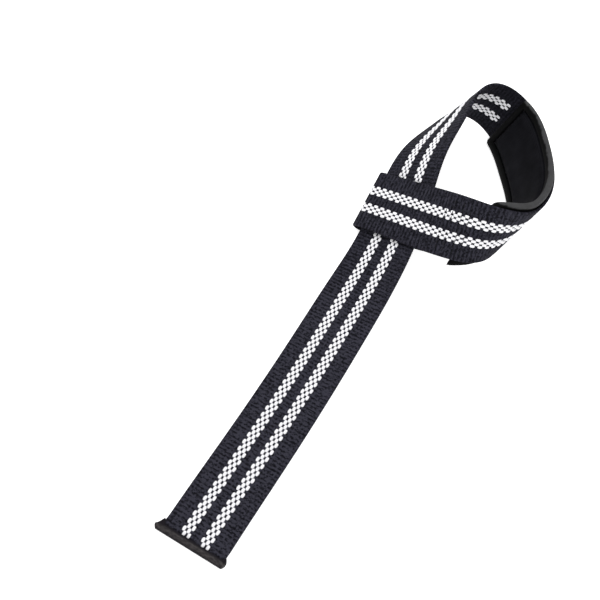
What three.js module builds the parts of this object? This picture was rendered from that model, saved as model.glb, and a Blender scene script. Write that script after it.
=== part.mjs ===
// A padded lifting strap lying on a table: one length of webbing whose tail passes through its own sewn end
// loop, with a soft pad inside the wrist loop. Millimetres, +Z up, the free tail lying along +Y.
// A place on the strap is given by how far along the webbing it is from the tail's cut end, how far across
// from the middle (positive on the wrist hole's side), and how far out from the webbing's mid thickness.
import * as THREE from 'three';

// Webbing
const webbing = { width: 38, thickness: 2.2, edge: 1.2, step: 3, faceParts: 3 };
const tailEnd = { x: -24.9, y: -168.1 };
const tailEndPress = { until: 6, thickness: 1.4, lift: 0.7 };

// How fast the webbing turns along its length, in degrees per 100 mm, with even changes between the rows:
// bend curls it toward its inner face, twist lifts its left edge, sway steers it sideways in its own plane.
const route = [
  { at: 0, bend: 0, twist: 0, sway: -6 },
  { at: 66, bend: 0, twist: 0, sway: 3 },
  { at: 126, bend: 0, twist: 0, sway: 3 },
  { at: 156, bend: -7, twist: -3, sway: -2 },
  { at: 186, bend: -30, twist: -35, sway: -2 },
  { at: 216, bend: -54, twist: -28, sway: 5 },
  { at: 246, bend: 21, twist: -36, sway: 15 },
  { at: 276, bend: 90, twist: -42, sway: -6 },
  { at: 306, bend: -31, twist: -61, sway: 9 },
  { at: 336, bend: 333, twist: -49, sway: 7 },
  { at: 366, bend: 173, twist: -42, sway: -16 },
  { at: 396, bend: -9, twist: 15, sway: 13 },
  { at: 426, bend: 102, twist: 13, sway: 15 },
  { at: 456, bend: 115, twist: 12, sway: -1 },
  { at: 471, bend: 169, twist: 121, sway: 2 },
  { at: 486, bend: 278, twist: 126, sway: 20 },
  { at: 501, bend: 165, twist: 81, sway: 18 },
  { at: 516, bend: -35, twist: 64, sway: -6 },
  { at: 546, bend: 4, twist: 24, sway: 2 },
  { at: 576, bend: 35, twist: 21, sway: 10 },
];

// The band's end: folded under the tail, then lifted to the band's underside and sewn there
const fold = { at: 563.3, radius: 3.6, parts: 8 };
const lap = { tailEdge: 523.5, closedAt: 514.5, endsAt: 509, sewnGap: 0.3, step: 3 };

// Wrist pad and its rolled edge, on the webbing's inner face
const pad = {
  startsAt: 361,
  endsAt: 503,
  width: 41.8,
  offset: 1,
  swing: 3.8,
  swingPower: 8,
  slant: 19,
  slantPower: 3,
  crown: 4.4,
  edgeHeight: 3,
  squareness: 4,
  endSlope: 8,
  gap: 0.3,
  step: 4,
  parts: 8,
};
const rim = { width: 4.8, height: 3.8, upperSwell: 0.4, cornerReach: 1.3, endParts: 8 };

// Tape folded over the tail's cut end, a row for each section from the wider flare to the narrower one
const tape = { thickness: 0.8, gap: 0.3 };
const tapeSections = [
  { across: -22.9, front: 0.6, lip: 1.6, height: 2.6 },
  { across: -21.4, front: -1.1, lip: 2.7, height: 3.2 },
  { across: -19.3, front: -1.2, lip: 6, height: 3.6 },
  { across: -17.5, front: -1.2, lip: 3.1, height: 3.6 },
  { across: 18, front: -1.2, lip: 3, height: 3.6 },
  { across: 19.1, front: -1.2, lip: 4.8, height: 3.6 },
  { across: 19.8, front: -1, lip: 3.6, height: 3.4 },
  { across: 20.3, front: -0.2, lip: 2.4, height: 3 },
];

const radiansPerMm = THREE.MathUtils.DEG2RAD / 100;
const { lerp, smoothstep } = THREE.MathUtils;

function turnRate(at, kind) {
  const next = Math.max(1, route.findIndex((row) => row.at >= at));
  const before = route[next - 1];
  const after = route[next];
  const share = (at - before.at) / (after.at - before.at);
  return lerp(before[kind], after[kind], share) * radiansPerMm;
}

// Carries a frame along the webbing in short even turns, from the tail's end lying flat on the table.
function walkRoute() {
  const stations = [];
  const middle = new THREE.Vector3(tailEnd.x, tailEnd.y, webbing.thickness / 2);
  const turn = new THREE.Quaternion().setFromAxisAngle(new THREE.Vector3(0, 0, 1), Math.PI / 2);
  for (let at = 0; at <= route.at(-1).at; at += webbing.step) {
    stations.push({ middle: middle.clone(), turn: turn.clone() });
    const rates = ['twist', 'bend', 'sway'].map((kind) => turnRate(at + webbing.step / 2, kind));
    const spin = new THREE.Vector3(...rates).multiplyScalar(webbing.step);
    const angle = spin.length();
    const axis = angle > 0 ? spin.divideScalar(angle) : new THREE.Vector3(1, 0, 0);
    const halfTurn = turn.clone().multiply(new THREE.Quaternion().setFromAxisAngle(axis, angle / 2));
    middle.addScaledVector(new THREE.Vector3(1, 0, 0).applyQuaternion(halfTurn), webbing.step);
    turn.multiply(new THREE.Quaternion().setFromAxisAngle(axis, angle));
  }
  return stations;
}

const stations = walkRoute();

function frameAt(at) {
  const index = THREE.MathUtils.clamp(Math.floor(at / webbing.step), 0, stations.length - 2);
  const share = at / webbing.step - index;
  const turn = stations[index].turn.clone().slerp(stations[index + 1].turn, share);
  return {
    middle: stations[index].middle.clone().lerp(stations[index + 1].middle, share),
    along: new THREE.Vector3(1, 0, 0).applyQuaternion(turn),
    left: new THREE.Vector3(0, 1, 0).applyQuaternion(turn),
    out: new THREE.Vector3(0, 0, 1).applyQuaternion(turn),
  };
}

function pointOn(frame, across, outward) {
  return frame.middle.clone().addScaledVector(frame.left, -across).addScaledVector(frame.out, outward);
}

// Joins equal rings of points into one closed body, capped at both ends or closed on itself.
function loft(rings, closedLoop = false) {
  const count = rings[0].length;
  const faces = [];
  const spans = closedLoop ? rings.length : rings.length - 1;
  for (let span = 0; span < spans; span += 1) {
    const here = span * count;
    const next = ((span + 1) % rings.length) * count;
    for (let side = 0; side < count; side += 1) {
      const beside = (side + 1) % count;
      faces.push(here + side, here + beside, next + beside, here + side, next + beside, next + side);
    }
  }
  if (!closedLoop) {
    const lastRing = (rings.length - 1) * count;
    for (const [a, b, c] of capFaces(rings[0])) {
      faces.push(a, c, b, lastRing + a, lastRing + b, lastRing + c);
    }
  }
  const geometry = new THREE.BufferGeometry();
  geometry.setFromPoints(rings.flat());
  geometry.setIndex(faces);
  geometry.computeVertexNormals();
  return geometry;
}

// Triangles that fill a flat ring, which may have a slot in it, in the ring's own turning sense.
function capFaces(ring) {
  const normal = new THREE.Vector3();
  ring.forEach((point, index) => {
    const next = ring[(index + 1) % ring.length];
    normal.add(point.clone().cross(next));
  });
  const across = ring[1].clone().sub(ring[0]).normalize();
  const up = normal.normalize().clone().cross(across);
  const flat = ring.map((point) => new THREE.Vector2(point.dot(across), point.dot(up)));
  return THREE.ShapeUtils.triangulateShape(flat, []);
}

// Cross-section of a flat strip with rounded edges, as [across, outward] pairs.
function stripSection(thickness) {
  const half = thickness / 2;
  const flatHalf = webbing.width / 2 - webbing.edge;
  const edge = (side) => [1, 0, -1].map((step) => {
    const angle = (step * Math.PI) / 4;
    return [side * (flatHalf + webbing.edge * Math.cos(angle)), side * half * Math.sin(angle)];
  });
  const face = (side) => Array.from({ length: webbing.faceParts + 1 }, (_, part) => {
    const across = lerp(-flatHalf, flatHalf, part / webbing.faceParts);
    return [side * across, side * half];
  });
  return [...face(1), ...edge(1), ...face(-1), ...edge(-1)];
}

function stripRing(frame, thickness = webbing.thickness, lift = 0) {
  return stripSection(thickness).map(([across, outward]) => pointOn(frame, across, outward + lift));
}

// Webbing: tail, wrist loop and band, then the fold and the lap under the tail
function webbingRings() {
  const rings = [];
  for (let at = 0; at < fold.at; at += webbing.step) {
    const pressed = at <= tailEndPress.until;
    const { thickness, lift } = pressed ? tailEndPress : { thickness: webbing.thickness, lift: 0 };
    rings.push(stripRing(frameAt(at), thickness, lift));
  }
  const end = frameAt(fold.at);
  for (let part = 0; part <= fold.parts; part += 1) {
    const angle = (Math.PI * part) / fold.parts;
    const middle = end.middle.clone()
      .addScaledVector(end.along, fold.radius * Math.sin(angle))
      .addScaledVector(end.out, fold.radius * (Math.cos(angle) - 1));
    const out = end.out.clone().multiplyScalar(Math.cos(angle)).addScaledVector(end.along, Math.sin(angle));
    rings.push(stripRing({ middle, left: end.left, out }));
  }
  const sewnDepth = webbing.thickness + lap.sewnGap;
  const lapParts = Math.round((fold.at - lap.endsAt) / lap.step);
  for (let part = 1; part <= lapParts; part += 1) {
    const at = lerp(fold.at, lap.endsAt, part / lapParts);
    const band = frameAt(at);
    const opened = smoothstep(at, lap.closedAt, lap.tailEdge);
    const depth = lerp(sewnDepth, 2 * fold.radius, opened);
    const middle = pointOn(band, 0, -depth);
    rings.push(stripRing({ middle, left: band.left, out: band.out.clone().negate() }));
  }
  return rings;
}

function padShare(at) {
  return (at - pad.startsAt) / (pad.endsAt - pad.startsAt);
}

// A place on the pad's side of the webbing, its height measured inward from the webbing's inner face.
// The pad drifts off the webbing's middle; under the band its end swings back and is slanted.
function pointOnPad(at, across, height) {
  const share = padShare(at);
  const slanted = at - pad.slant * share ** pad.slantPower * (0.5 + across / pad.width);
  const swung = across + pad.offset * share - pad.swing * share ** pad.swingPower;
  return pointOn(frameAt(slanted), swung, -(webbing.thickness / 2 + pad.gap + height));
}

const panel = {
  from: pad.startsAt + rim.width + pad.gap,
  to: pad.endsAt - rim.width - pad.gap,
  half: pad.width / 2 - rim.width - pad.gap,
};

// Wrist pad: a panel that swells from its sewn edge to its crown
function padRings() {
  const rings = [];
  const lengths = Math.round((panel.to - panel.from) / pad.step);
  for (let part = 0; part <= lengths; part += 1) {
    const at = lerp(panel.from, panel.to, part / lengths);
    const fromEnd = Math.min(at - panel.from, panel.to - at);
    const endSwell = smoothstep(fromEnd, -pad.step, pad.endSlope);
    const shares = Array.from({ length: pad.parts + 1 }, (_, index) => 1 - (2 * index) / pad.parts);
    const underside = shares.map((share) => pointOnPad(at, -share * panel.half, 0));
    const top = shares.map((share) => {
      const swell = endSwell * (1 - share ** pad.squareness);
      return pointOnPad(at, share * panel.half, lerp(pad.edgeHeight, pad.crown, swell));
    });
    rings.push([...underside, ...top]);
  }
  return rings;
}

// Rolled edge: its section, as shares of its width and height, swept round the panel with soft corners
// and ever fuller on the upper side
const rimSection = [
  { reach: 0, rise: 0 },
  { reach: 0, rise: 0.7 },
  { reach: 0.25, rise: 0.95 },
  { reach: 0.55, rise: 1 },
  { reach: 0.85, rise: 0.85 },
  { reach: 1, rise: 0.55 },
  { reach: 0.97, rise: 0.25 },
  { reach: 0.8, rise: 0 },
];

function rimRing(at, across, direction, reachScale) {
  const fullness = reachScale * (1 + rim.upperSwell * padShare(at) * Math.max(0, direction.y));
  return rimSection.map(({ reach, rise }) => pointOnPad(
    at + direction.x * reach * rim.width * fullness,
    across + direction.y * reach * rim.width * fullness,
    rise * rim.height,
  ));
}

function rimRings() {
  const inner = { from: panel.from - pad.gap, to: panel.to + pad.gap, half: panel.half + pad.gap };
  const corners = [
    { at: inner.to, across: inner.half },
    { at: inner.from, across: inner.half },
    { at: inner.from, across: -inner.half },
    { at: inner.to, across: -inner.half },
  ];
  const longParts = Math.round((inner.to - inner.from) / pad.step);
  const rings = [];
  corners.forEach((corner, index) => {
    const next = corners[(index + 1) % corners.length];
    const sideAngle = Math.PI / 2 * (index + 1);
    const parts = index % 2 === 0 ? longParts : rim.endParts;
    const cornerTurns = [
      { angle: sideAngle - Math.PI / 4, reachScale: rim.cornerReach },
      { angle: sideAngle, reachScale: 1 },
    ];
    for (const { angle, reachScale } of cornerTurns) {
      const direction = new THREE.Vector2(Math.cos(angle), Math.sin(angle));
      rings.push(rimRing(corner.at, corner.across, direction, reachScale));
    }
    const direction = new THREE.Vector2(Math.cos(sideAngle), Math.sin(sideAngle));
    for (let part = 1; part <= parts; part += 1) {
      const share = part / parts;
      const at = lerp(corner.at, next.at, share);
      const across = lerp(corner.across, next.across, share);
      rings.push(rimRing(at, across, direction, 1));
    }
  });
  return rings;
}

// Folded tape: a slotted section in the plane of the tail's length and height
function tapeRings() {
  const frame = frameAt(0);
  const floor = -webbing.thickness / 2;
  return tapeSections.map(({ across, front, lip, height }) => {
    const top = floor + height;
    const slotFront = Math.max(front + tape.thickness, -tape.gap);
    const slotFloor = floor + tape.thickness;
    const slotTop = top - tape.thickness;
    const soft = tape.thickness / 2;
    const outline = [
      [lip, floor],
      [lip, slotFloor],
      [slotFront, slotFloor],
      [slotFront, slotTop],
      [lip, slotTop],
      [lip, top - soft],
      [lip - soft, top],
      [front + soft, top],
      [front, top - soft],
      [front, floor + soft],
      [front + soft, floor],
    ];
    return outline.map(([forward, outward]) => {
      const point = pointOn(frame, across, outward);
      return point.addScaledVector(frame.along, forward);
    });
  });
}

function fabric(colour, roughness) {
  return new THREE.MeshStandardMaterial({ color: colour, roughness, metalness: 0 });
}

function piece(name, geometry, material) {
  const mesh = new THREE.Mesh(geometry, material);
  mesh.name = name;
  return mesh;
}

const strap = new THREE.Group();
strap.add(piece('webbing', loft(webbingRings()), fabric('#2b2a30', 0.9)));
strap.add(piece('wrist_pad', loft(padRings()), fabric('#1b1b1f', 0.85)));
strap.add(piece('pad_binding', loft(rimRings(), true), fabric('#2f3231', 0.6)));
strap.add(piece('end_binding', loft(tapeRings()), fabric('#37322f', 0.65)));

export default strap;
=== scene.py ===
import math

import bmesh
import bpy
import numpy as np
from mathutils import Matrix, Quaternion, Vector


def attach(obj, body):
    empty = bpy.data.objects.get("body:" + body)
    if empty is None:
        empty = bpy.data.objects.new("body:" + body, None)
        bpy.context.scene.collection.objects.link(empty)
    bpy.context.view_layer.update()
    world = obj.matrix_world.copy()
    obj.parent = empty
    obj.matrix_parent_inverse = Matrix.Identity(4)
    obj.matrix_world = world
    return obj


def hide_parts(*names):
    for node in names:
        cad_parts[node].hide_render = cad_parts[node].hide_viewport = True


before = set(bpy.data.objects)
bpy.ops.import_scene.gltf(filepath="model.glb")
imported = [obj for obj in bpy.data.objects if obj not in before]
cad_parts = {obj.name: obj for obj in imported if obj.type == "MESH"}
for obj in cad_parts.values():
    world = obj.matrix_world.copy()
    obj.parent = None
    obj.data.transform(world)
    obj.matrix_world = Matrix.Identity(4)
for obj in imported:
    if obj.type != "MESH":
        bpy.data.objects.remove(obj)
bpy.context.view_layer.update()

# Padded lifting strap. Each piece is cut flat in millimetres as (along, left, out): along the webbing from
# the tail's cut end, to the left of its middle, and out from its mid thickness. Then it is laid on the route.
mm = 0.001
tiny = 0.001  # places closer than this, in millimetres, are the same
eggCells = {"u_segments": 8, "v_segments": 6}  # a yarn or a stitch is a small egg
white = (1.0, 1.0, 1.0, 1.0)
print("frame:", ", ".join(sorted(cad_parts)))


# Camera at the photo's height and side

view = {
    "place": (81.8, -237.9, 452.9),
    "target": (-51.6, -13.0, 0.0),
    "lens": 52.62,
    "sensor": 36.0,
    "nearest": 0.01,       # metres
}


def makeCamera():
    eye = bpy.data.cameras.new("camera")
    eye.lens = view["lens"]
    eye.sensor_width = view["sensor"]
    eye.clip_start = view["nearest"]
    place = Vector(view["place"])
    camera = bpy.data.objects.new("camera", eye)
    camera.location = place * mm
    camera.rotation_euler = (Vector(view["target"]) - place).to_track_quat("-Z", "Y").to_euler()
    bpy.context.scene.collection.objects.link(camera)
    bpy.context.scene.camera = camera


makeCamera()
print("camera set")


# The strap's route, the same as the solids'

strap = {
    "width": 38.0,
    "thickness": 2.2,
    "tailEnd": (-24.9, -168.1),
    "pressedUntil": 6.0,   # the cut end is pressed thin inside its tape
    "fullAt": 9.0,
    "pressedShare": 0.64,
    "pressedLift": 0.7,
    "foldAt": 563.3,       # the band's end folds under the tail here
    "foldRadius": 3.6,
    "foldParts": 24,
    "lapEndsAt": 509.0,
    "lapClosedAt": 514.5,
    "lapOpenAt": 523.5,
    "sewnGap": 0.3,
    "walkStep": 0.5,
    "turnSpan": 100.0,     # the route's rows give degrees in this length
}
turnKinds = ("twist", "bend", "sway")  # about the along, left and out axes
route = [  # the turns change evenly between the rows
    {"at": 0, "bend": 0, "twist": 0, "sway": -6},
    {"at": 66, "bend": 0, "twist": 0, "sway": 3},
    {"at": 126, "bend": 0, "twist": 0, "sway": 3},
    {"at": 156, "bend": -7, "twist": -3, "sway": -2},
    {"at": 186, "bend": -30, "twist": -35, "sway": -2},
    {"at": 216, "bend": -54, "twist": -28, "sway": 5},
    {"at": 246, "bend": 21, "twist": -36, "sway": 15},
    {"at": 276, "bend": 90, "twist": -42, "sway": -6},
    {"at": 306, "bend": -31, "twist": -61, "sway": 9},
    {"at": 336, "bend": 333, "twist": -49, "sway": 7},
    {"at": 366, "bend": 173, "twist": -42, "sway": -16},
    {"at": 396, "bend": -9, "twist": 15, "sway": 13},
    {"at": 426, "bend": 102, "twist": 13, "sway": 15},
    {"at": 456, "bend": 115, "twist": 12, "sway": -1},
    {"at": 471, "bend": 169, "twist": 121, "sway": 2},
    {"at": 486, "bend": 278, "twist": 126, "sway": 20},
    {"at": 501, "bend": 165, "twist": 81, "sway": 18},
    {"at": 516, "bend": -35, "twist": 64, "sway": -6},
    {"at": 546, "bend": 4, "twist": 24, "sway": 2},
    {"at": 576, "bend": 35, "twist": 21, "sway": 10},
]


def smoothStep(value, low, high):
    share = np.clip((value - low) / (high - low), 0.0, 1.0)
    return share * share * (3 - 2 * share)


def walkRoute():
    places = [row["at"] for row in route]
    rates = [[row[kind] for row in route] for kind in turnKinds]
    steps = round(strap["foldAt"] / strap["walkStep"])
    step = strap["foldAt"] / steps
    middle = Vector((*strap["tailEnd"], strap["thickness"] / 2))
    facing = Quaternion((0, 0, 1), math.pi / 2)
    stations = []
    for count in range(steps + 1):
        at = count * step
        along, left, out = facing.to_matrix().transposed()
        stations.append({"at": at, "middle": middle.copy(), "along": along, "left": left, "out": out})
        here = [np.interp(at + step / 2, places, rate) for rate in rates]
        spin = Vector(here) * math.radians(step / strap["turnSpan"])
        middle += (facing @ Quaternion(spin.normalized(), spin.length / 2)) @ Vector((step, 0, 0))
        facing = facing @ Quaternion(spin.normalized(), spin.length)
    return stations


def foldUnder(stations):  # adds the fold round the tail's edge and the lap sewn under the band
    end = stations[-1]
    band = stations[:-1]
    radius = strap["foldRadius"]
    for part in range(1, strap["foldParts"] + 1):
        angle = math.pi * part / strap["foldParts"]
        stations.append({
            "at": end["at"] + radius * angle,
            "middle": end["middle"] + end["along"] * radius * math.sin(angle)
            + end["out"] * radius * (math.cos(angle) - 1),
            "left": end["left"],
            "out": end["out"] * math.cos(angle) + end["along"] * math.sin(angle),
        })
    foldEnd = stations[-1]["at"]
    sewnDepth = strap["thickness"] + strap["sewnGap"]
    for above in reversed(band):
        if above["at"] < strap["lapEndsAt"]:
            break
        opened = smoothStep(above["at"], strap["lapClosedAt"], strap["lapOpenAt"])
        depth = sewnDepth + (2 * radius - sewnDepth) * float(opened)
        stations.append({
            "at": foldEnd + end["at"] - above["at"],
            "middle": above["middle"] - above["out"] * depth,
            "left": above["left"],
            "out": -above["out"],
        })
    return stations


stations = foldUnder(walkRoute())
stationAt = np.array([row["at"] for row in stations])
stationAxes = {kind: np.array([row[kind] for row in stations]) for kind in ("middle", "left", "out")}
cutLength = stationAt[-1]
print(f"route: {cutLength:.1f} mm of webbing")


def onRoute(flat):
    axes = {kind: np.column_stack([np.interp(flat[:, 0], stationAt, rows[:, axis]) for axis in range(3)])
            for kind, rows in stationAxes.items()}
    pressed = 1 - smoothStep(flat[:, 0], strap["pressedUntil"], strap["fullAt"])
    out = flat[:, 2] * (1 - pressed * (1 - strap["pressedShare"])) + pressed * strap["pressedLift"]
    return axes["middle"] + axes["left"] * flat[:, 1:2] + axes["out"] * out[:, None]


def roundTailEnd(flat):  # the end tape is shaped round the cut end, straight on from the first station
    middle, left, out = (stationAxes[kind][0] for kind in ("middle", "left", "out"))
    along = np.cross(left, out)
    return middle + flat[:, :1] * along + flat[:, 1:2] * left + flat[:, 2:] * out


def layDown(mesh, place):  # keeps the flat cut as UV maps, in millimetres
    flat = np.empty(len(mesh.vertices) * 3, np.float32)
    mesh.vertices.foreach_get("co", flat)
    flat = flat.reshape(-1, 3)
    corners = np.empty(len(mesh.loops), np.int32)
    mesh.loops.foreach_get("vertex_index", corners)
    for name, columns in {"flatCut": (0, 1), "flatSide": (2, 2)}.items():
        cut = mesh.uv_layers.new(name=name)
        cut.data.foreach_set("uv", flat[corners][:, columns].ravel())
    laid = place(flat.astype(float)) * mm
    mesh.vertices.foreach_set("co", laid.astype(np.float32).ravel())
    mesh.update()


def flatMesh(name, bm):
    bmesh.ops.recalc_face_normals(bm, faces=bm.faces)
    mesh = bpy.data.meshes.new(name)
    bm.to_mesh(mesh)
    bm.free()
    return mesh


def addPiece(mesh, finish, place=onRoute):  # lays a flat mesh down as a piece of the same name
    layDown(mesh, place)
    mesh.materials.append(finish)
    mesh.shade_smooth()
    piece = bpy.data.objects.new(mesh.name, mesh)
    bpy.context.scene.collection.objects.link(piece)
    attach(piece, "root")
    print(f"{piece.name}:", len(mesh.polygons), "faces")
    return piece


# Finishes: sums of sockets are written as plain expressions

class Shade:
    def __init__(self, finish, socket):
        self.finish = finish
        self.socket = socket

    def maths(self, operation, first, second=0.0):
        return self.finish.add("ShaderNodeMath", {"operation": operation}, {0: first, 1: second})

    def __add__(self, other):
        return self.maths("ADD", self, other)

    def __radd__(self, other):
        return self.maths("ADD", other, self)

    def __sub__(self, other):
        return self.maths("SUBTRACT", self, other)

    def __rsub__(self, other):
        return self.maths("SUBTRACT", other, self)

    def __mul__(self, other):
        return self.maths("MULTIPLY", self, other)

    def __rmul__(self, other):
        return self.maths("MULTIPLY", other, self)

    def __truediv__(self, other):
        return self.maths("DIVIDE", self, other)

    def __rtruediv__(self, other):
        return self.maths("DIVIDE", other, self)

    def __abs__(self):
        return self.maths("ABSOLUTE", self)

    def floor(self):
        return self.maths("FLOOR", self)

    def fraction(self):
        return self.maths("FRACT", self)

    def wave(self):  # a sine that runs from 0 to 1
        return self.maths("SINE", self) * 0.5 + 0.5

    def between(self, low, high):  # 0 below low, 1 above high, eased
        settings = {"interpolation_type": "SMOOTHSTEP"}
        sockets = {"Value": self, "From Min": low, "From Max": high}
        return self.finish.add("ShaderNodeMapRange", settings, sockets)


class Finish:
    def __init__(self, name, constants):
        self.material = bpy.data.materials.new(name)
        self.material.use_nodes = True
        self.tree = self.material.node_tree
        self.shader = self.tree.nodes["Principled BSDF"]
        for socket, value in constants.items():
            self.shader.inputs[socket].default_value = value

    def add(self, kind, settings=None, sockets=None, output=0):
        node = self.tree.nodes.new(kind)
        for key, value in (settings or {}).items():
            setattr(node, key, value)
        for key, value in (sockets or {}).items():
            if isinstance(value, Shade):
                self.tree.links.new(value.socket, node.inputs[key])
            else:
                node.inputs[key].default_value = value
        return Shade(self, node.outputs[output])

    def feed(self, socket, value):
        self.tree.links.new(value.socket, self.shader.inputs[socket])

    def flatCut(self):
        place = self.add("ShaderNodeUVMap", {"uv_map": "flatCut"})
        along = self.add("ShaderNodeSeparateXYZ", {}, {0: place}, "X")
        left = self.add("ShaderNodeSeparateXYZ", {}, {0: place}, "Y")
        return along, left

    def flatSide(self):
        place = self.add("ShaderNodeUVMap", {"uv_map": "flatSide"})
        return self.add("ShaderNodeSeparateXYZ", {}, {0: place}, "X")

    def point(self, x, y, z=0.0):
        return self.add("ShaderNodeCombineXYZ", {}, {"X": x, "Y": y, "Z": z})

    def noise(self, place, scale, detail=3.0):
        return self.add("ShaderNodeTexNoise", {}, {"Vector": place, "Scale": scale, "Detail": detail}, "Fac")

    def random(self, place):
        return self.add("ShaderNodeTexWhiteNoise", {}, {"Vector": place}, "Value")

    def mix(self, share, first, second):
        sockets = {0: share, 6: first, 7: second}
        return self.add("ShaderNodeMix", {"data_type": "RGBA"}, sockets, 2)

    def rough(self, share, least, spread):
        self.feed("Roughness", least + share * spread)

    def bump(self, height, strength, distance):
        sockets = {"Height": height, "Strength": strength, "Distance": distance}
        self.feed("Normal", self.add("ShaderNodeBump", {}, sockets, "Normal"))


# Webbing: black cotton, raised in a plain weave

weave = {
    "pick": 1.16,              # a quarter of the chequer's repeat
    "columns": 40,
    "body": 1.8,               # thickness under the raised yarns
    "rise": 0.07,
    "edgeRound": 0.55,
    "sunk": 0.2,               # the ground lies lower under the white yarns
    "black": (0.0034, 0.0033, 0.0056, 1.0),
    "grey": (0.035, 0.0345, 0.048, 1.0),
    "yarnLight": 0.37,         # how much each of these lightens the cotton
    "speckLight": 0.15,
    "fibreLight": 0.2,
    "ribLight": 0.28,
    "lightBetween": (0.25, 0.8),
    "speckWidth": 1.3,         # a speck of paler cotton lies across the webbing
    "speckShift": 0.37,        # from one row of specks to the next
    "speckDraw": 7.0,
    "fibreAlong": 2.2,
    "fibreAcross": 1.1,
    "patchScale": 0.16,        # worn patches
    "patchLeast": 0.5,
    "faded": (140.0, 210.0),   # the tail up to here is paler from handling
    "fadedLight": 1.6,
    "fadedLoss": 0.65,
    "innerShade": (326.0, 352.0),  # painted shade: from here to the pad the inner face is darkened, as shade in the concave fold
    "innerShadeLoss": 0.6,
    "midThickness": (-0.3, 0.3),
    "specular": 0.1,
    "roughness": (0.80, 0.15),
    "bump": (0.6, 0.0002),
}
stripe = {
    "middle": 5.9,             # from the webbing's middle to a stripe's middle
    "ends": 4,
    "pitch": 1.45,
    "repeat": 4.64,
    "length": 3.0,
    "width": 1.85,
    "top": 1.13,               # height of a yarn above the mid thickness
    "depth": 0.42,
    "squareness": 4,           # a yarn is flattened by its neighbours
    "fullness": 0.45,          # and fuller at its ends than an egg
    "startsAt": 4.4,
    "endMargin": 1.0,
    "padFrom": 361.0,          # the pad covers the inner face between these
    "padTo": 504.5,
    "white": (0.94, 0.94, 0.95, 1.0),
    "shadow": (0.88, 0.87, 0.92, 1.0),
    "plyAlong": 2.8,
    "plyAcross": 10.0,
    "plyShade": 0.35,
    "lintAlong": 1.5,
    "lintAcross": 3.0,
    "lintShade": 0.4,
    "specular": 0.2,
    "roughness": (0.75, 0.2),
    "bump": (0.4, 0.00015),
}


def cottonFinish():
    finish = Finish("blackCotton", {"Specular IOR Level": weave["specular"]})
    along, left = finish.flatCut()
    pick = weave["pick"]
    cell = strap["width"] / weave["columns"]
    yarn = finish.random(finish.point((along / (pick / 2)).floor(), (left / cell + 0.5).floor()))
    speckRow = (along / pick + 0.5).floor()
    speckColumn = (left / weave["speckWidth"] + speckRow * weave["speckShift"]).floor()
    speck = finish.random(finish.point(speckRow, speckColumn, weave["speckDraw"]))
    fibres = finish.noise(finish.point(along * weave["fibreAlong"], left * weave["fibreAcross"]), 1.0)
    patches = finish.noise(finish.point(along, left), weave["patchScale"])
    rib = abs((along / (2 * pick)).fraction() - 0.5) * 2
    light = yarn * weave["yarnLight"] + speck * weave["speckLight"]
    light = light + fibres * weave["fibreLight"] + rib * weave["ribLight"]
    light = light.between(*weave["lightBetween"]) * (weave["patchLeast"] + patches)
    inner = 1 - finish.flatSide().between(*weave["midThickness"])
    # painted shade on the inner face before the pad's start, where the loop's fold shades it
    innerShade = inner * along.between(*weave["innerShade"])
    faded = weave["fadedLight"] - along.between(*weave["faded"]) * weave["fadedLoss"]
    shown = light * faded * (1 - innerShade * weave["innerShadeLoss"])
    finish.feed("Base Color", finish.mix(shown, weave["black"], weave["grey"]))
    finish.rough(fibres, *weave["roughness"])
    finish.bump(fibres * 0.5 + speck * 0.5, *weave["bump"])
    return finish.material


def whiteYarnFinish():
    finish = Finish("whiteYarn", {"Specular IOR Level": stripe["specular"]})
    along, left = finish.flatCut()
    plies = (along * stripe["plyAlong"] + left * stripe["plyAcross"]).wave()
    lint = finish.noise(finish.point(along * stripe["lintAlong"], left * stripe["lintAcross"]), 1.0)
    shade = plies * stripe["plyShade"] + lint * stripe["lintShade"]
    finish.feed("Base Color", finish.mix(shade, stripe["white"], stripe["shadow"]))
    finish.rough(lint, *stripe["roughness"])
    finish.bump(plies * 0.5 + lint * 0.5, *stripe["bump"])
    return finish.material


def makeWebbing():
    bm = bmesh.new()
    halfPick = weave["pick"] / 2
    rows = round(cutLength / halfPick)
    bmesh.ops.create_grid(bm, x_segments=rows, y_segments=weave["columns"], size=0.5)
    bmesh.ops.scale(bm, vec=(cutLength, strap["width"], 1.0), verts=bm.verts)
    bmesh.ops.translate(bm, vec=(cutLength / 2, 0.0, 0.0), verts=bm.verts)
    bmesh.ops.solidify(bm, geom=bm.faces[:], thickness=weave["body"])
    middleHeight = sum(vert.co.z for vert in bm.verts) / len(bm.verts)
    bmesh.ops.translate(bm, vec=(0.0, 0.0, -middleHeight), verts=bm.verts)
    half = strap["width"] / 2
    selvedges = [edge for edge in bm.edges
                 if all(abs(abs(vert.co.y) - half) < tiny for vert in edge.verts)
                 and abs(edge.verts[0].co.z - edge.verts[1].co.z) < tiny]
    bmesh.ops.bevel(bm, geom=selvedges, offset=weave["edgeRound"], offset_type="OFFSET", affect="EDGES",
                    segments=2, profile=0.5, material=-1)
    cell = strap["width"] / weave["columns"]
    stripeHalf = stripe["ends"] * stripe["pitch"] / 2
    for vert in bm.verts:  # every other crossing stands up
        if abs(vert.co.y) < half - weave["edgeRound"] - tiny:
            over = (round(vert.co.x / halfPick) + round(vert.co.y / cell)) % 2
            sunk = weave["sunk"] if abs(abs(vert.co.y) - stripe["middle"]) < stripeHalf else 0.0
            face = math.copysign(1.0, vert.co.z)
            vert.co.z += face * (weave["rise"] * (2 * over - 1) - sunk)
    cloth = addPiece(flatMesh("webbing_cloth", bm), cottonFinish())
    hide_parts("webbing")
    return cloth


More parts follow.
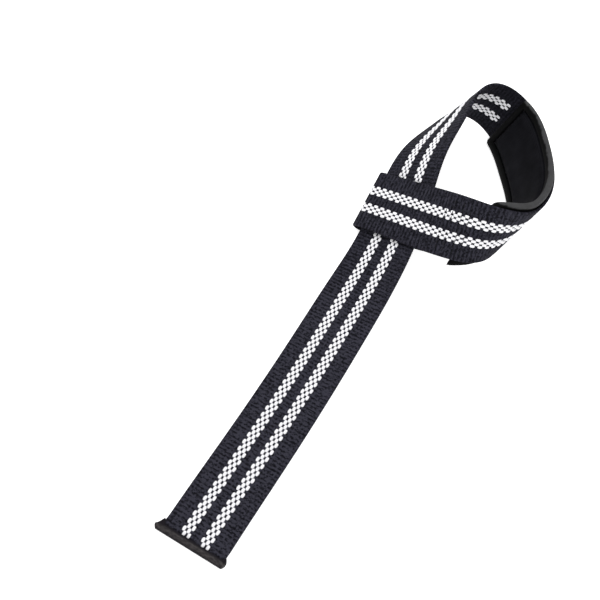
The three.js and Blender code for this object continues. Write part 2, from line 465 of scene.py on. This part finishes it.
def shapeYarn(verts):
    for vert in verts:
        vert.co.x *= stripe["length"] / 2
        reach = math.hypot(vert.co.y, vert.co.z)
        if reach < tiny:
            continue  # one of its two tips
        power = stripe["squareness"]
        squarer = (abs(vert.co.y / reach) ** power + abs(vert.co.z / reach) ** power) ** (-1 / power)
        fuller = squarer * reach ** -stripe["fullness"]
        vert.co.y *= fuller * stripe["width"] / 2
        vert.co.z *= fuller * stripe["depth"]


def makeStripeRun(name, finish, fromAt, toAt, inner):
    bm = bmesh.new()
    first = -(stripe["ends"] - 1) / 2 * stripe["pitch"] - stripe["middle"]
    height = stripe["top"] - stripe["depth"]
    for column in range(2):  # two neighbours, half a repeat apart
        lengthwise = Matrix.Rotation(math.pi / 2, 4, "Y")
        made = bmesh.ops.create_uvsphere(bm, **eggCells, radius=1.0, matrix=lengthwise)
        shapeYarn(made["verts"])
        shift = (fromAt + stripe["repeat"] * column / 2, first + stripe["pitch"] * column, height)
        bmesh.ops.translate(bm, vec=shift, verts=made["verts"])
    rows = bpy.data.objects.new("yarn_pair", flatMesh("yarn_pair", bm))
    bpy.context.scene.collection.objects.link(rows)
    steps = {
        "along": (int((toAt - fromAt) / stripe["repeat"]), (stripe["repeat"], 0.0, 0.0)),
        "pairs": (stripe["ends"] // 2, (0.0, 2 * stripe["pitch"], 0.0)),
        "stripes": (2, (0.0, 2 * stripe["middle"], 0.0)),
    }
    for step, (count, shift) in steps.items():
        array = rows.modifiers.new(step, "ARRAY")
        array.count = count
        array.use_relative_offset = False
        array.use_constant_offset = True
        array.constant_offset_displace = shift
    bpy.context.view_layer.update()
    repeated = rows.evaluated_get(bpy.context.evaluated_depsgraph_get())
    yarns = bpy.data.meshes.new_from_object(repeated)
    bpy.data.meshes.remove(rows.data)
    yarns.name = name
    if inner:
        yarns.transform(Matrix.Rotation(math.pi, 4, "X"))
    return addPiece(yarns, finish)


cloth = makeWebbing()
whiteYarn = whiteYarnFinish()
stripesEnd = cutLength - stripe["endMargin"]
stripes = [
    makeStripeRun("stripe_yarns_outer", whiteYarn, stripe["startsAt"], stripesEnd, False),
    makeStripeRun("stripe_yarns_inner_tail", whiteYarn, stripe["startsAt"], stripe["padFrom"], True),
    makeStripeRun("stripe_yarns_inner_band", whiteYarn, stripe["padTo"], stripesEnd, True),
]
print("webbing woven")


# Wrist pad: a soft panel inside a rolled edge, on the webbing's inner face

pad = {
    "from": 361.0,
    "to": 503.0,
    "width": 41.8,
    "offset": 1.0,             # it drifts off the webbing's middle
    "swing": 3.8,              # its end swings back under the band
    "swingPower": 8,
    "slant": 19.0,             # its end is slanted
    "slantPower": 3,
    "gap": 0.3,
}
panel = {
    "crown": 4.4,
    "seamHeight": 1.7,
    "shoulder": 4.5,           # how far in from the seam the panel reaches its full height
    "pucker": 0.16,
    "puckerStep": 6.3,
    "puckerReach": 1.6,        # in shoulders
    "under": 0.1,
    "cells": (72, 20),
    "dark": (0.0022, 0.0022, 0.0030, 1.0),
    "light": (0.0155, 0.0155, 0.0195, 1.0),
    "wale": 0.9,               # a column of knit stitches
    "course": 0.8,
    "chevron": 1.2,
    "waleRound": 1.6,
    "lintScale": 1.6,
    "cloudScale": 0.09,
    "cloudDetail": 2.0,
    "stitchLight": 0.5,
    "lintLight": 0.4,
    "cloudLight": 0.4,
    "lightBetween": (0.3, 1.0),
    "lintBump": 0.3,
    "specular": 0.04,
    "roughness": (0.72, 0.2),
    "bump": (0.5, 0.0002),
}
roll = {
    "width": 4.8,
    "height": 3.8,
    "sectionPower": 3,         # how square its section is
    "upperSwell": 0.4,         # the upper roll is ever fuller
    "corner": 0.6,             # inner radius of its corners
    "cornerPower": 8,          # how square they are outside
    "cells": (360, 16),
    "dark": (0.0026, 0.0026, 0.0028, 1.0),
    # the grey of the painted highlight on the upper roll
    "light": (0.056, 0.056, 0.058, 1.0),
    "grainScale": 3.0,
    "grainDetail": 4.0,
    "blotchScale": 0.22,
    "blotchReach": 3.0,
    "paintedHighlight": (21.2, 22.4),    # painted highlight: the outer half of the upper roll, which faces the light, is painted grey; the others stay black
    "highlightLeast": 0.65,
    "highlightSpread": 0.6,
    "specular": 0.06,
    "roughness": (0.55, 0.2),
    "bump": (0.25, 0.0001),
}
padLength = pad["to"] - pad["from"]
padMiddle = (pad["from"] + pad["to"]) / 2
padFloor = strap["thickness"] / 2 + pad["gap"]
panelHalf = (
    padLength / 2 - roll["width"] - pad["gap"],
    pad["width"] / 2 - roll["width"] - pad["gap"],
)


def putInside(bm):  # turns a piece made with its height up on to the inner face
    bmesh.ops.rotate(bm, cent=(0, 0, 0), matrix=Matrix.Rotation(math.pi, 3, "X"), verts=bm.verts)
    bmesh.ops.translate(bm, vec=(padMiddle, 0.0, -padFloor), verts=bm.verts)
    for vert in bm.verts:
        share = (vert.co.x - pad["from"]) / padLength
        vert.co.x -= pad["slant"] * share ** pad["slantPower"] * (0.5 - vert.co.y / pad["width"])
        vert.co.y += pad["swing"] * share ** pad["swingPower"] - pad["offset"] * share


def panelHeight(x, y):
    fromEnd = panelHalf[0] - abs(x)
    fromSide = panelHalf[1] - abs(y)
    swell = 1.0
    for inward in (fromEnd, fromSide):
        share = min(1.0, max(0.0, inward / panel["shoulder"]))
        swell *= math.sqrt(1 - (1 - share) ** 2)
    seam = max(0.0, 1 - min(fromEnd, fromSide) / (panel["puckerReach"] * panel["shoulder"]))
    around = x if fromSide < fromEnd else y
    pucker = panel["pucker"] * seam * math.sin(2 * math.pi * around / panel["puckerStep"])
    return panel["seamHeight"] + (panel["crown"] - panel["seamHeight"]) * swell + pucker * swell


def knitFinish():
    finish = Finish("padKnit", {"Specular IOR Level": panel["specular"]})
    along, left = finish.flatCut()
    wale = abs((left / panel["wale"]).fraction() - 0.5)
    course = ((along / panel["course"] + wale * panel["chevron"]) * (2 * math.pi)).wave()
    stitch = course * (1 - wale * panel["waleRound"])
    lint = finish.noise(finish.point(along, left), panel["lintScale"])
    clouds = finish.noise(finish.point(along, left), panel["cloudScale"], panel["cloudDetail"])
    light = stitch * panel["stitchLight"] + lint * panel["lintLight"] + clouds * panel["cloudLight"]
    light = light.between(*panel["lightBetween"])
    finish.feed("Base Color", finish.mix(light, panel["dark"], panel["light"]))
    finish.rough(lint, *panel["roughness"])
    finish.bump(stitch + lint * panel["lintBump"], *panel["bump"])
    return finish.material


def rollFinish():
    finish = Finish("rolledEdge", {"Specular IOR Level": roll["specular"]})
    along, left = finish.flatCut()
    grain = finish.noise(finish.point(along, left), roll["grainScale"], roll["grainDetail"])
    blotches = finish.noise(finish.point(along, left), roll["blotchScale"])
    # painted highlight on the outer half of the upper roll, its edge and strength varied by blotches
    paintedHighlight = (blotches * roll["blotchReach"] - left).between(*roll["paintedHighlight"])
    paintedHighlight = paintedHighlight * (roll["highlightLeast"] + blotches * roll["highlightSpread"])
    finish.feed("Base Color", finish.mix(paintedHighlight, roll["dark"], roll["light"]))
    finish.rough(grain, *roll["roughness"])
    finish.bump(grain, *roll["bump"])
    return finish.material


def makePanel():
    bm = bmesh.new()
    bmesh.ops.create_grid(bm, x_segments=panel["cells"][0], y_segments=panel["cells"][1], size=1.0)
    bmesh.ops.scale(bm, vec=(*panelHalf, 1.0), verts=bm.verts)
    bmesh.ops.solidify(bm, geom=bm.faces[:], thickness=1.0)
    middleHeight = sum(vert.co.z for vert in bm.verts) / len(bm.verts)
    for vert in bm.verts:
        vert.co.z = panelHeight(vert.co.x, vert.co.y) if vert.co.z > middleHeight else panel["under"]
    putInside(bm)
    piece = addPiece(flatMesh("pad_panel", bm), knitFinish())
    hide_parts("wrist_pad")


def roundedPath(distance, half, radius):  # a place and the outward way on a rectangle with round corners
    straight = (2 * (half[0] - radius), 2 * (half[1] - radius))
    arc = math.pi / 2 * radius
    for side, length in enumerate(straight * 2):
        angle = side * math.pi / 2
        along = Vector((math.cos(angle), math.sin(angle)))
        outward = Vector((along.y, -along.x))
        reach = half[(side + 1) % 2] - radius
        start = outward * reach - along * length / 2
        if distance <= length:
            return start + along * distance + outward * radius, outward
        distance -= length
        if distance <= arc:
            turned = Matrix.Rotation(distance / radius, 2) @ outward
            return start + along * length + turned * radius, turned
        distance -= arc
    return roundedPath(0.0, half, radius)


def pathLength(half, radius):
    return 4 * (half[0] + half[1] - 2 * radius) + 2 * math.pi * radius


def makeRolledEdge():
    bm = bmesh.new()
    toMiddle = roll["width"] / 2
    half = (panelHalf[0] + pad["gap"] + toMiddle, panelHalf[1] + pad["gap"] + toMiddle)
    radius = roll["corner"] + toMiddle
    total = pathLength(half, radius)
    corner = roll["cornerPower"]
    section = roll["sectionPower"]
    bmesh.ops.create_grid(bm, x_segments=roll["cells"][0], y_segments=roll["cells"][1], size=0.5)
    for vert in bm.verts:  # the grid is bent round the panel one way and into a tube the other
        place, outward = roundedPath((vert.co.x + 0.5) * total, half, radius)
        place -= outward * toMiddle
        share = place.x / padLength + 0.5
        fullness = 1 + roll["upperSwell"] * share * max(0.0, outward.y)
        outward = outward * (abs(outward.x) ** corner + abs(outward.y) ** corner) ** (-1 / corner)
        angle = 2 * math.pi * (vert.co.y + 0.5)
        squarer = (abs(math.cos(angle)) ** section + abs(math.sin(angle)) ** section) ** (-1 / section)
        reach = toMiddle * fullness * (1 + squarer * math.cos(angle))
        rise = roll["height"] / 2 * (1 + squarer * math.sin(angle))
        vert.co = (*(place + outward * reach), rise)
    bmesh.ops.remove_doubles(bm, verts=bm.verts, dist=tiny)
    putInside(bm)
    piece = addPiece(flatMesh("pad_rolled_edge", bm), rollFinish())
    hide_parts("pad_binding")


makePanel()
makeRolledEdge()
print("pad laid")


# End tape: smooth tape folded over the tail's cut end, flared past its corners

tape = {
    "flat": (0.0432, 0.0118),  # cut size in metres
    "thickness": 0.8,
    "leastLip": 0.1,
    "cells": (110, 26),
    "dark": (0.016, 0.0143, 0.0156, 1.0),
    "light": (0.052, 0.0465, 0.0475, 1.0),
    # the colour of the painted shade at the tape's nose and lip
    "paintedShade": (0.005, 0.0035, 0.0065, 1.0),
    "ribTurn": 9.0,
    "wearAlong": 1.2,
    "wearAcross": 0.5,
    "wearScale": 0.8,
    "wornBetween": (0.3, 0.7),
    "noseShade": (-1.1, 0.0),
    "lipShade": (1.4, 2.5),
    "ribBump": 0.4,
    "wearBump": 0.6,
    "specular": 0.12,
    "roughness": (0.48, 0.2),
    "bump": (0.35, 0.00015),
}
tapeRows = [  # sections from the narrower flare to the wider one
    {"left": -20.3, "front": 0.8, "lip": 2.6, "height": 1.8},
    {"left": -19.8, "front": -0.5, "lip": 3.7, "height": 2.8},
    {"left": -19.1, "front": -1.2, "lip": 4.8, "height": 3.4},
    {"left": -18.0, "front": -1.2, "lip": 3.0, "height": 3.6},
    {"left": 17.5, "front": -1.2, "lip": 3.1, "height": 3.6},
    {"left": 19.3, "front": -1.2, "lip": 6.0, "height": 3.4},
    {"left": 21.4, "front": -1.1, "lip": 2.7, "height": 2.4},
    {"left": 22.9, "front": 0.6, "lip": 1.6, "height": 1.6},
]


def tapeFinish():
    finish = Finish("smoothTape", {"Specular IOR Level": tape["specular"]})
    along, left = finish.flatCut()
    ribs = (left * tape["ribTurn"]).wave()
    stretched = finish.point(along * tape["wearAlong"], left * tape["wearAcross"])
    wear = finish.noise(stretched, tape["wearScale"])
    worn = finish.mix(wear.between(*tape["wornBetween"]), tape["dark"], tape["light"])
    # painted shade: darker at the fold's nose and along the lip, where the tape steps onto the webbing
    edges = 1 - along.between(*tape["noseShade"]) * (1 - along.between(*tape["lipShade"]))
    finish.feed("Base Color", finish.mix(edges, worn, tape["paintedShade"]))
    finish.rough(wear, *tape["roughness"])
    finish.bump(ribs * tape["ribBump"] + wear * tape["wearBump"], *tape["bump"])
    return finish.material


def makeEndTape():
    bm = bmesh.new()
    bmesh.ops.create_grid(bm, x_segments=tape["cells"][0], y_segments=tape["cells"][1], size=0.5)
    lefts = [row["left"] for row in tapeRows]
    low = -strap["thickness"] / 2
    for vert in bm.verts:
        across = lefts[0] + (lefts[-1] - lefts[0]) * (vert.co.x + 0.5)
        front, lip, height = (np.interp(across, lefts, [row[kind] for row in tapeRows])
                              for kind in ("front", "lip", "height"))
        radius = height / 2
        quarter = radius * math.pi / 2
        straight = max(tape["leastLip"], lip - front - radius)
        way = abs(vert.co.y) * 2 * (straight + quarter)  # from the fold's nose to a lip
        side = math.copysign(1.0, vert.co.y)
        if way < quarter:
            angle = way / radius
            forward = front + radius * (1 - math.cos(angle))
            rise = radius * math.sin(angle)
        else:
            forward = front + radius + way - quarter
            rise = radius
        vert.co = (forward, across, low + radius + side * rise)
    bmesh.ops.recalc_face_normals(bm, faces=bm.faces)
    bmesh.ops.solidify(bm, geom=bm.faces[:], thickness=tape["thickness"])
    folded = addPiece(flatMesh("end_tape", bm), tapeFinish(), roundTailEnd)
    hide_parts("end_binding")
    return folded


endTape = makeEndTape()
print("end tape folded")


# Stitches: black thread in short raised stitches

thread = {
    "lapRows": (495.0, 499.5, 505.5, 510.0),  # across the band, where the lap and the pad are sewn on
    "startRow": 364.0,         # across the webbing, where the pad starts
    "above": 0.2,              # above the webbing's body
    "margin": 2.0,             # a row stops this far from the webbing's edges
    "thinWidth": 0.55,
    "length": 2.3,
    "step": 3.1,
    "width": 0.8,
    "height": 0.55,
    "black": (0.006, 0.006, 0.008, 1.0),
    "grey": (0.022, 0.022, 0.026, 1.0),
    "twistScale": 4000.0,
    "twistDetail": 1.0,
    "specular": 0.12,
    "roughness": (0.5, 0.2),
    "bump": (0.3, 0.0001),
}


def threadFinish():
    finish = Finish("blackThread", {"Specular IOR Level": thread["specular"]})
    place = finish.add("ShaderNodeTexCoord", {}, {}, "Object")
    twist = finish.noise(place, thread["twistScale"], thread["twistDetail"])
    finish.feed("Base Color", finish.mix(twist, thread["black"], thread["grey"]))
    finish.rough(twist, *thread["roughness"])
    finish.bump(twist, *thread["bump"])
    return finish.material


def sewStitch(bm, place, angle, width):
    shape = Matrix.Diagonal((thread["length"] / 2, width / 2, thread["height"] / 2, 1.0))
    matrix = Matrix.Translation(place) @ Matrix.Rotation(angle, 4, "Z") @ shape
    bmesh.ops.create_uvsphere(bm, **eggCells, radius=1.0, matrix=matrix)


def sewRows(bm):
    out = weave["body"] / 2 + thread["above"]
    count = int((strap["width"] - 2 * thread["margin"]) / thread["step"])
    for at in (thread["startRow"], *thread["lapRows"]):
        for stitch in range(count):
            left = (stitch - (count - 1) / 2) * thread["step"]
            sewStitch(bm, (at, left, out), math.pi / 2, thread["thinWidth"])


def sewPanelSeam(bm):
    half = (panelHalf[0] + pad["gap"] / 2, panelHalf[1] + pad["gap"] / 2)
    radius = roll["corner"] - pad["gap"] / 2
    total = pathLength(half, radius)
    count = round(total / thread["step"])
    for stitch in range(count):
        place, outward = roundedPath(total * stitch / count, half, radius)
        angle = math.atan2(outward.y, outward.x) + math.pi / 2
        sewStitch(bm, (*place, panel["seamHeight"]), angle, thread["width"])
    putInside(bm)


def makeStitches():
    finish = threadFinish()
    for name, sew in {"lap_stitches": sewRows, "pad_seam_stitches": sewPanelSeam}.items():
        bm = bmesh.new()
        sew(bm)
        addPiece(flatMesh(name, bm), finish)


makeStitches()
print("stitches sewn")


# Pale floor and soft studio light, in metres

studio = {
    "floorSize": 8.0,
    "floorHeight": -0.0001,
    "floorColour": (0.93, 0.93, 0.93, 1.0),
    "floorRoughness": 0.9,
    "floorGlow": 0.7,
    "worldStrength": 0.5,
    "lamps": [
        {"name": "overhead", "place": (-0.2, 0.25, 0.95), "size": 0.9, "power": 7.2},
        {"name": "front", "place": (0.55, -0.75, 0.7), "size": 0.7, "power": 3.1},
    ],
}


def makeFloor():
    bm = bmesh.new()
    bmesh.ops.create_grid(bm, x_segments=1, y_segments=1, size=studio["floorSize"] / 2)
    mesh = bpy.data.meshes.new("floor")
    bm.to_mesh(mesh)
    bm.free()
    paper = Finish("palePaper", {
        "Base Color": studio["floorColour"],
        "Roughness": studio["floorRoughness"],
        "Emission Color": white,
        "Emission Strength": studio["floorGlow"],
    })
    mesh.materials.append(paper.material)
    floor = bpy.data.objects.new("floor", mesh)
    floor.location.z = studio["floorHeight"]
    bpy.context.scene.collection.objects.link(floor)


def lightStudio():
    world = bpy.data.worlds.new("softRoom")
    world.use_nodes = True
    room = world.node_tree.nodes["Background"]
    room.inputs["Color"].default_value = white
    room.inputs["Strength"].default_value = studio["worldStrength"]
    bpy.context.scene.world = world
    bpy.context.scene.view_settings.view_transform = "Standard"  # keeps white white
    for row in studio["lamps"]:
        lamp = bpy.data.lights.new(row["name"], "AREA")
        lamp.shape = "SQUARE"
        lamp.size = row["size"]
        lamp.energy = row["power"]
        holder = bpy.data.objects.new(row["name"], lamp)
        holder.location = row["place"]
        holder.rotation_euler = (-Vector(row["place"])).to_track_quat("-Z", "Y").to_euler()
        bpy.context.scene.collection.objects.link(holder)


makeFloor()
lightStudio()
print("studio lit")
